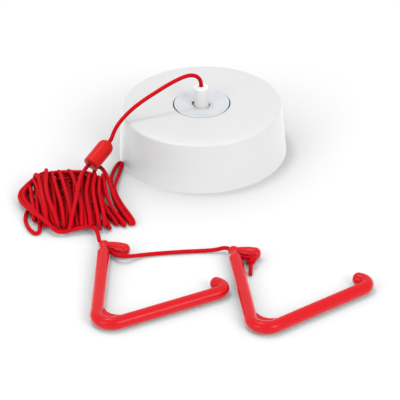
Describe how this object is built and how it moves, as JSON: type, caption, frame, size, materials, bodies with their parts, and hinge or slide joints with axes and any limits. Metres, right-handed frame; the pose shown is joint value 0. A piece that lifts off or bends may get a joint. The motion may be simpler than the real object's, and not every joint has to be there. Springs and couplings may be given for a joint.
{
  "type": "pull cord switch",
  "caption": "Round white ceiling pull cord switch with a spring-returned stem, a twist-apart cord joiner, a wound red cord and open triangular red pulls.",
  "frame": {"origin": "centre of the flat mounting face, which lies on the table", "axes": "+Z out of the round face along the stem, +X towards the second pull, -Y towards the two pulls"},
  "size_m": [0.1988, 0.2473, 0.0529],
  "materials": {
    "housing_white": "semi-gloss moulded",
    "plate_white": "matt moulded",
    "lens_white": "translucent, satin",
    "guide_white": "matt moulded",
    "stem_white": "semi-gloss moulded",
    "spring_steel": "drawn wire and strip",
    "screw_steel": "zinc plated",
    "switch_black": "matt",
    "button_red": "matt",
    "brass": "tinned strip",
    "wire_blue": "wire insulation",
    "board_green": "solder mask",
    "led_clear": "clear epoxy",
    "relay_orange": "moulded case",
    "resistor_tan": "coated",
    "capacitor_black": "sleeved can",
    "block_grey": "matt moulded",
    "joiner_red": "gloss moulded",
    "cord_red": "tightly braided round cord",
    "pull_red": "gloss moulded"
  },
  "bodies": {
    "housing": {"cover": "housing_white", "back_plate": "plate_white", "lens_disc": "lens_white", "stem_guide": "guide_white", "return_spring": "spring_steel", "lever_pin": "spring_steel", "guide_screws": "screw_steel", "microswitch_screws": "screw_steel", "board_screws": "screw_steel", "terminal_screws": "screw_steel", "microswitch_body": "switch_black", "buzzer": "switch_black", "microswitch_terminals": "brass", "switch_leads": "wire_blue", "circuit_board": "board_green", "indicator_leds": "led_clear", "relay": "relay_orange", "resistors": "resistor_tan", "capacitor": "capacitor_black", "terminal_block": "block_grey", "joiner_plug": "joiner_red", "joiner_upper_knot": "cord_red", "joiner_lower_knot": "cord_red", "cord_upper": "cord_red", "cord_lead": "cord_red", "cord_hank": "cord_red", "cord_tail": "cord_red", "cord_link": "cord_red"},
    "stem": {"pull_stem": "stem_white", "stem_cord_knot": "cord_red"},
    "switch_lever": {"microswitch_lever": "spring_steel"},
    "switch_button": {"microswitch_button": "button_red"},
    "joiner_barrel": {"joiner_barrel": "joiner_red"},
    "pull_1": {"pull_1": "pull_red", "pull_1_cord": "cord_red"},
    "pull_2": {"pull_2": "pull_red", "pull_2_knot": "cord_red"}
  },
  "joints": [
    {"name": "stem_slide", "type": "slide", "parent": "housing", "child": "stem", "axis": [0, 0, 1], "range_m": [0, 0.0035], "stiffness_N_per_m": 2000, "springref_m": -0.002, "deforming": ["return_spring", "cord_upper"]},
    {"name": "lever_hinge", "type": "hinge", "parent": "housing", "child": "switch_lever", "pos_m": [0, 0.03, 0.0116], "axis": [-1, 0, 0], "range_deg": [0, 11.7]},
    {"name": "button_slide", "type": "slide", "parent": "housing", "child": "switch_button", "axis": [0, 0, 1], "range_m": [0, 0.0015]},
    {"name": "joiner_twist", "type": "hinge", "parent": "housing", "child": "joiner_barrel", "pos_m": [-0.0554, -0.0239, 0.0204], "axis": [-0.571, -0.7429, -0.3493], "range_deg": [0, 90]},
    {"name": "pull_1_tip", "type": "hinge", "parent": "housing", "child": "pull_1", "pos_m": [-0.0586, -0.10607, 0.0038], "axis": [-0.848, -0.5299, 0], "range_deg": [0, 75], "deforming": ["cord_tail", "cord_link"]},
    {"name": "pull_2_tip", "type": "hinge", "parent": "housing", "child": "pull_2", "pos_m": [0.01356, -0.11571, 0.0038], "axis": [-0.7547, -0.6561, 0], "range_deg": [0, 75], "deforming": ["cord_link"]}
  ],
  "couplings": [
    {"joint": "lever_hinge", "follows": "stem_slide", "rad_per_m": 57.86},
    {"joint": "button_slide", "follows": "stem_slide", "ratio": 0.4143}
  ]
}
